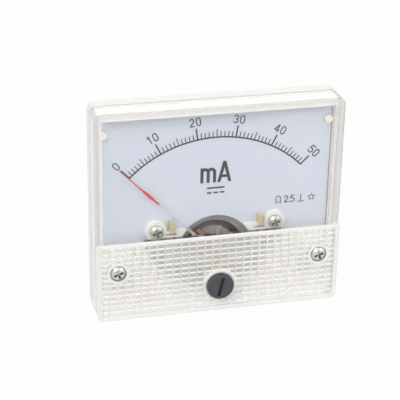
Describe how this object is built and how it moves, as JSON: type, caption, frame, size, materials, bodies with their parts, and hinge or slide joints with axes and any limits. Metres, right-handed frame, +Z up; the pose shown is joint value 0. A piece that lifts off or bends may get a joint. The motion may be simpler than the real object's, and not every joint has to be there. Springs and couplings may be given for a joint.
{
  "type": "analog panel meter",
  "caption": "Rectangular moving-coil panel meter: clear cover with a window and patterned lower panel, swinging red pointer over an arc scale, round drum and studs behind.",
  "frame": {"origin": "centre of the rectangular front, on the back face of the flange that lies against the panel; it is the centre of the four mounting studs", "axes": "+X right and +Z up as seen from the front, +Y back through the panel; the window faces -Y"},
  "size_m": [0.064, 0.0569, 0.056],
  "materials": {
    "ivory_plastic": "moulded, satin",
    "clear_plastic": "clear polystyrene, polished",
    "plated_steel": "nickel plated",
    "dial_paint": "satin enamel on aluminium",
    "dial_ink": "screen-printed ink",
    "post_plastic": "moulded",
    "frame_plastic": "moulded",
    "soft_iron": "bare, ground",
    "magnet_alloy": "cast and ground",
    "brass": "turned",
    "bridge_metal": "pressed",
    "coil_aluminium": "formed strip",
    "coil_copper": "enamelled copper wire",
    "pivot_steel": "polished",
    "jewel_glass": "polished synthetic jewel",
    "spring_bronze": "rolled bronze strip",
    "pointer_paint": "red paint on aluminium",
    "adjuster_plastic": "moulded, fine matt",
    "bobbin_plastic": "moulded",
    "shunt_wire": "varnished resistance wire",
    "red_lead": "extruded insulation",
    "blue_lead": "extruded insulation"
  },
  "bodies": {
    "root": {"base_housing": "ivory_plastic", "front_cover": "clear_plastic", "cover_screws": "plated_steel", "dial_plate": "dial_paint", "scale_ticks": "dial_ink", "scale_numbers": "dial_ink", "unit_marks": "dial_ink", "symbol_marks": "dial_ink", "left_stop_arm": "ivory_plastic", "right_stop_arm": "ivory_plastic", "stop_posts": "post_plastic", "dial_screws": "plated_steel", "movement_frame": "frame_plastic", "movement_screws": "plated_steel", "yoke_ring": "soft_iron", "core_magnet": "magnet_alloy", "core_spacers": "brass", "front_bridge": "bridge_metal", "rear_bridge": "bridge_metal", "bridge_screws": "plated_steel", "front_jewel_screw": "brass", "rear_jewel_screw": "brass", "jewels": "jewel_glass", "jewel_locknuts": "brass", "rear_spring_tag": "bridge_metal", "mounting_studs": "plated_steel", "terminal_studs": "plated_steel", "terminal_washers": "plated_steel", "terminal_nuts": "plated_steel", "inner_lugs": "brass", "shunt_bobbin": "bobbin_plastic", "shunt_winding": "shunt_wire", "positive_lead": "red_lead", "negative_lead": "blue_lead"},
    "moving_coil": {"coil_former": "coil_aluminium", "coil_winding": "coil_copper", "front_pivot": "pivot_steel", "rear_pivot": "pivot_steel", "spring_collets": "brass", "front_hairspring": "spring_bronze", "rear_hairspring": "spring_bronze", "balance_cross": "coil_aluminium", "balance_weights": "spring_bronze", "pointer": "pointer_paint"},
    "zero_lever": {"zero_lever": "bridge_metal"},
    "zero_adjuster": {"zero_adjuster": "adjuster_plastic", "adjuster_cam": "adjuster_plastic"}
  },
  "joints": [
    {"name": "pointer_swing", "type": "hinge", "parent": "root", "child": "moving_coil", "pos_m": [0, -0.0062, -0.0135], "axis": [0, 1, 0], "range_deg": [-3, 93], "stiffness_Nm_per_rad": 0.00002},
    {"name": "adjuster_turn", "type": "hinge", "parent": "root", "child": "zero_adjuster", "pos_m": [0, -0.0115, -0.0205], "axis": [0, 1, 0], "range_deg": [-30, 30]},
    {"name": "lever_swing", "type": "hinge", "parent": "root", "child": "zero_lever", "pos_m": [0, -0.00885, -0.0135], "axis": [0, 1, 0], "range_deg": [-6, 6]}
  ],
  "couplings": [
    {"joint": "lever_swing", "follows": "adjuster_turn", "ratio": -0.195}
  ]
}
